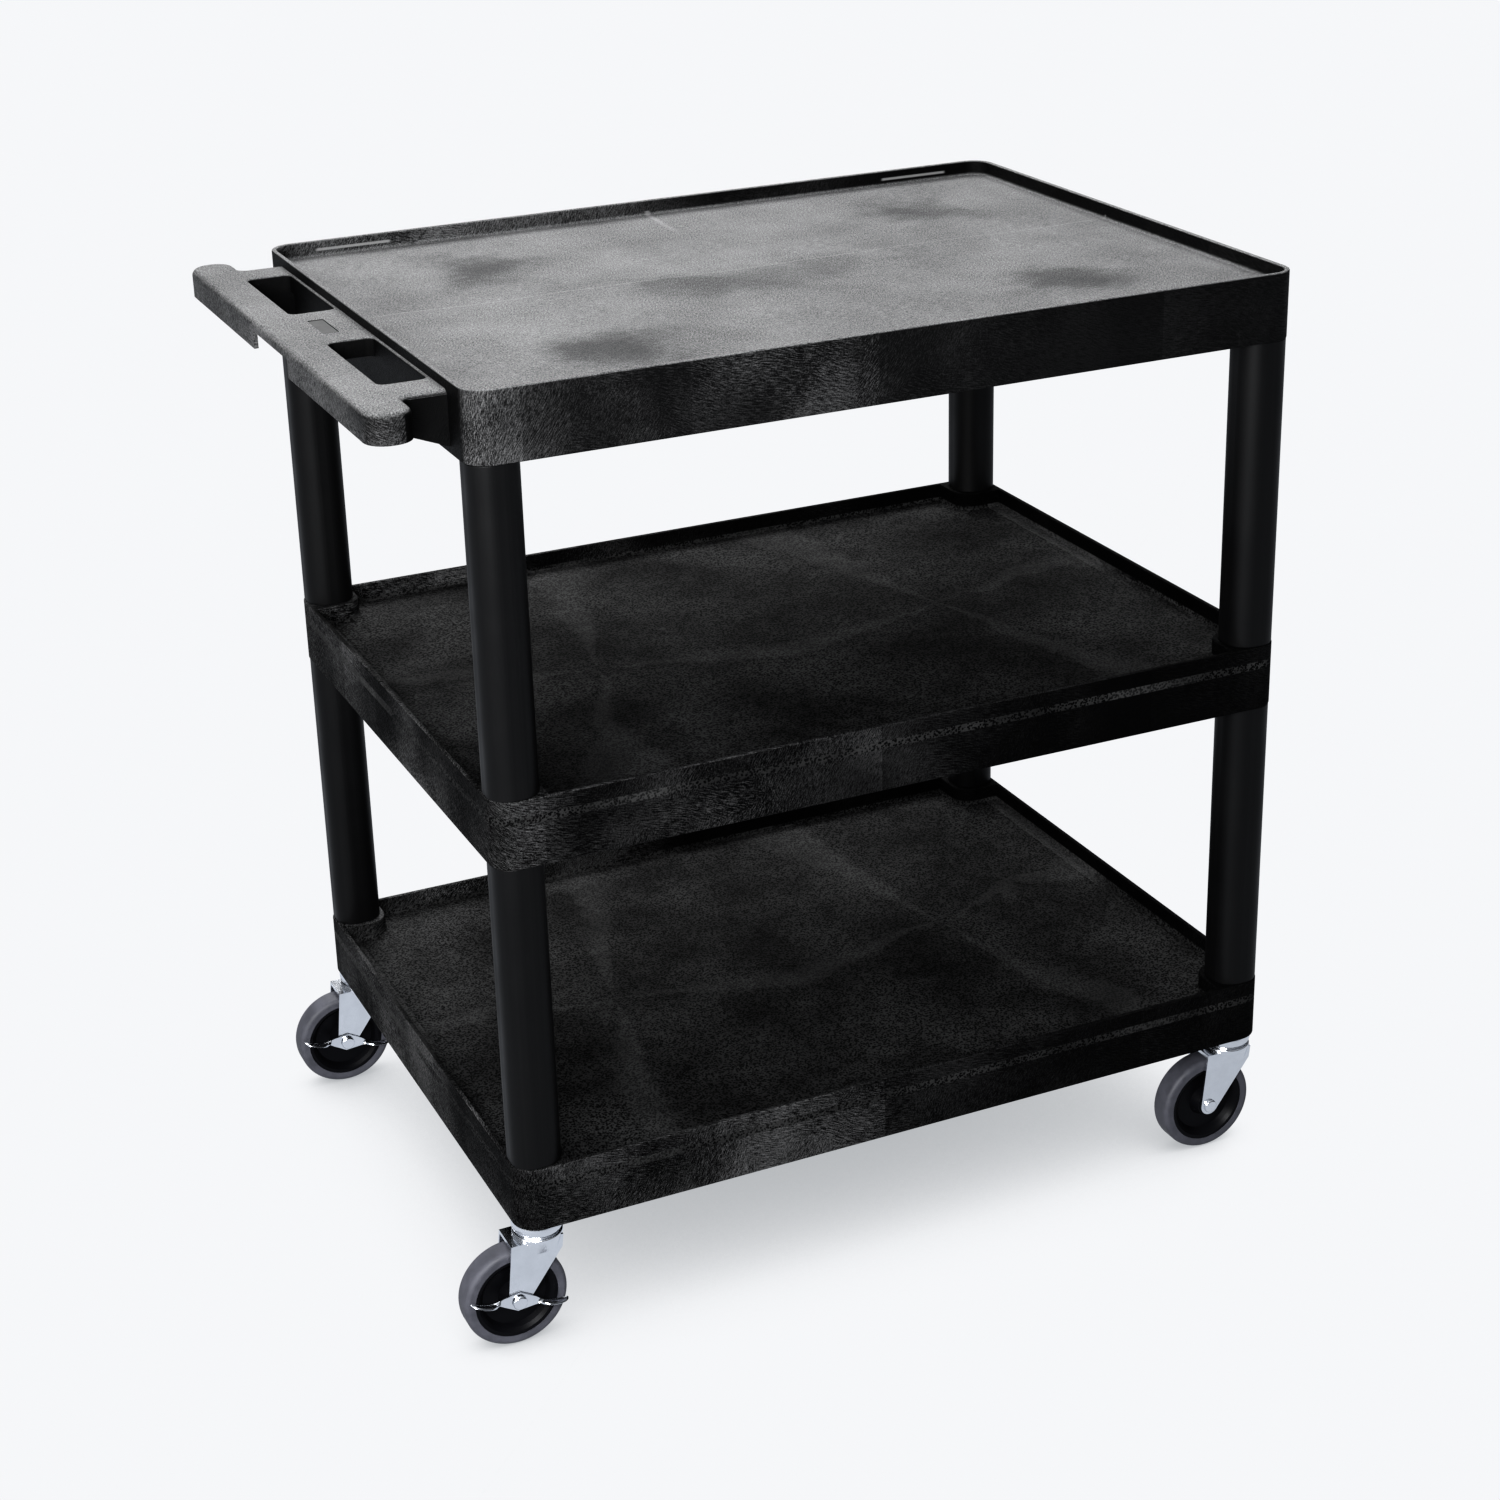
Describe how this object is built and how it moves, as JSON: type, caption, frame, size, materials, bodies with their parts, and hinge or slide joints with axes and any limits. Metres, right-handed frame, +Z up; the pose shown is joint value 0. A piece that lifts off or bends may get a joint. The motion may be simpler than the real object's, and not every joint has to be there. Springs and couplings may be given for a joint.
{
  "type": "rolling utility cart",
  "caption": "Plastic rolling utility cart with tray shelves on tubular legs, a moulded push handle and swivel casters, brakes at the handle end.",
  "frame": {"origin": "on the floor, under the middle of the whole cart's outline, handle included", "axes": "+Z up, handle at -X, long front side faces -Y"},
  "size_m": [0.8946, 0.6, 0.93],
  "materials": {
    "shelf_plastic": "moulded structural foam, mottled satin",
    "leg_plastic": "smooth satin",
    "plate_plastic": "plain satin",
    "socket_plastic": "plain",
    "zinc": "bright zinc plate",
    "steel": "plain steel",
    "hub_plastic": "semi-gloss black",
    "tread_rubber": "grey non-marking rubber"
  },
  "bodies": {
    "root": {"top_shelf": "shelf_plastic", "handle_plate": "plate_plastic", "middle_shelf": "shelf_plastic", "bottom_shelf": "shelf_plastic", "lower_leg_front_left": "leg_plastic", "lower_leg_front_right": "leg_plastic", "lower_leg_back_left": "leg_plastic", "lower_leg_back_right": "leg_plastic", "upper_leg_front_left": "leg_plastic", "upper_leg_front_right": "leg_plastic", "upper_leg_back_left": "leg_plastic", "upper_leg_back_right": "leg_plastic", "caster_socket_front_left": "socket_plastic", "caster_stem_front_left": "steel", "caster_cap_front_left": "zinc", "caster_socket_front_right": "socket_plastic", "caster_stem_front_right": "steel", "caster_cap_front_right": "zinc", "caster_socket_back_left": "socket_plastic", "caster_stem_back_left": "steel", "caster_cap_back_left": "zinc", "caster_socket_back_right": "socket_plastic", "caster_stem_back_right": "steel", "caster_cap_back_right": "zinc"},
    "fork_front_left": {"caster_balls_front_left": "steel", "caster_fork_front_left": "zinc", "caster_bush_front_left": "steel", "caster_axle_front_left": "zinc", "caster_nut_front_left": "zinc"},
    "wheel_front_left": {"wheel_hub_front_left": "hub_plastic", "wheel_tread_front_left": "tread_rubber"},
    "fork_front_right": {"caster_balls_front_right": "steel", "caster_fork_front_right": "zinc", "caster_bush_front_right": "steel", "caster_axle_front_right": "zinc", "caster_nut_front_right": "zinc"},
    "wheel_front_right": {"wheel_hub_front_right": "hub_plastic", "wheel_tread_front_right": "tread_rubber"},
    "fork_back_left": {"caster_balls_back_left": "steel", "caster_fork_back_left": "zinc", "caster_bush_back_left": "steel", "caster_axle_back_left": "zinc", "caster_nut_back_left": "zinc"},
    "wheel_back_left": {"wheel_hub_back_left": "hub_plastic", "wheel_tread_back_left": "tread_rubber"},
    "fork_back_right": {"caster_balls_back_right": "steel", "caster_fork_back_right": "zinc", "caster_bush_back_right": "steel", "caster_axle_back_right": "zinc", "caster_nut_back_right": "zinc"},
    "wheel_back_right": {"wheel_hub_back_right": "hub_plastic", "wheel_tread_back_right": "tread_rubber"},
    "brake_front_left": {"brake_pedal_front_left": "zinc"},
    "brake_back_left": {"brake_pedal_back_left": "zinc"}
  },
  "joints": [
    {"name": "swivel_front_left", "type": "hinge", "parent": "root", "child": "fork_front_left", "pos_m": [-0.34075, -0.272, 0.11], "axis": [0, 0, 1], "continuous": true},
    {"name": "roll_front_left", "type": "hinge", "parent": "fork_front_left", "child": "wheel_front_left", "pos_m": [-0.36875, -0.272, 0.0508], "axis": [0, 1, 0], "continuous": true},
    {"name": "swivel_front_right", "type": "hinge", "parent": "root", "child": "fork_front_right", "pos_m": [0.42225, -0.272, 0.11], "axis": [0, 0, 1], "continuous": true},
    {"name": "roll_front_right", "type": "hinge", "parent": "fork_front_right", "child": "wheel_front_right", "pos_m": [0.39425, -0.272, 0.0508], "axis": [0, 1, 0], "continuous": true},
    {"name": "swivel_back_left", "type": "hinge", "parent": "root", "child": "fork_back_left", "pos_m": [-0.34075, 0.272, 0.11], "axis": [0, 0, 1], "continuous": true},
    {"name": "roll_back_left", "type": "hinge", "parent": "fork_back_left", "child": "wheel_back_left", "pos_m": [-0.36875, 0.272, 0.0508], "axis": [0, 1, 0], "continuous": true},
    {"name": "swivel_back_right", "type": "hinge", "parent": "root", "child": "fork_back_right", "pos_m": [0.42225, 0.272, 0.11], "axis": [0, 0, 1], "continuous": true},
    {"name": "roll_back_right", "type": "hinge", "parent": "fork_back_right", "child": "wheel_back_right", "pos_m": [0.39425, 0.272, 0.0508], "axis": [0, 1, 0], "continuous": true},
    {"name": "brake_front_left", "type": "hinge", "parent": "fork_front_left", "child": "brake_front_left", "pos_m": [-0.36875, -0.272, 0.0508], "axis": [0, 1, 0], "range_deg": [-24, 0]},
    {"name": "brake_back_left", "type": "hinge", "parent": "fork_back_left", "child": "brake_back_left", "pos_m": [-0.36875, 0.272, 0.0508], "axis": [0, 1, 0], "range_deg": [-24, 0]}
  ]
}
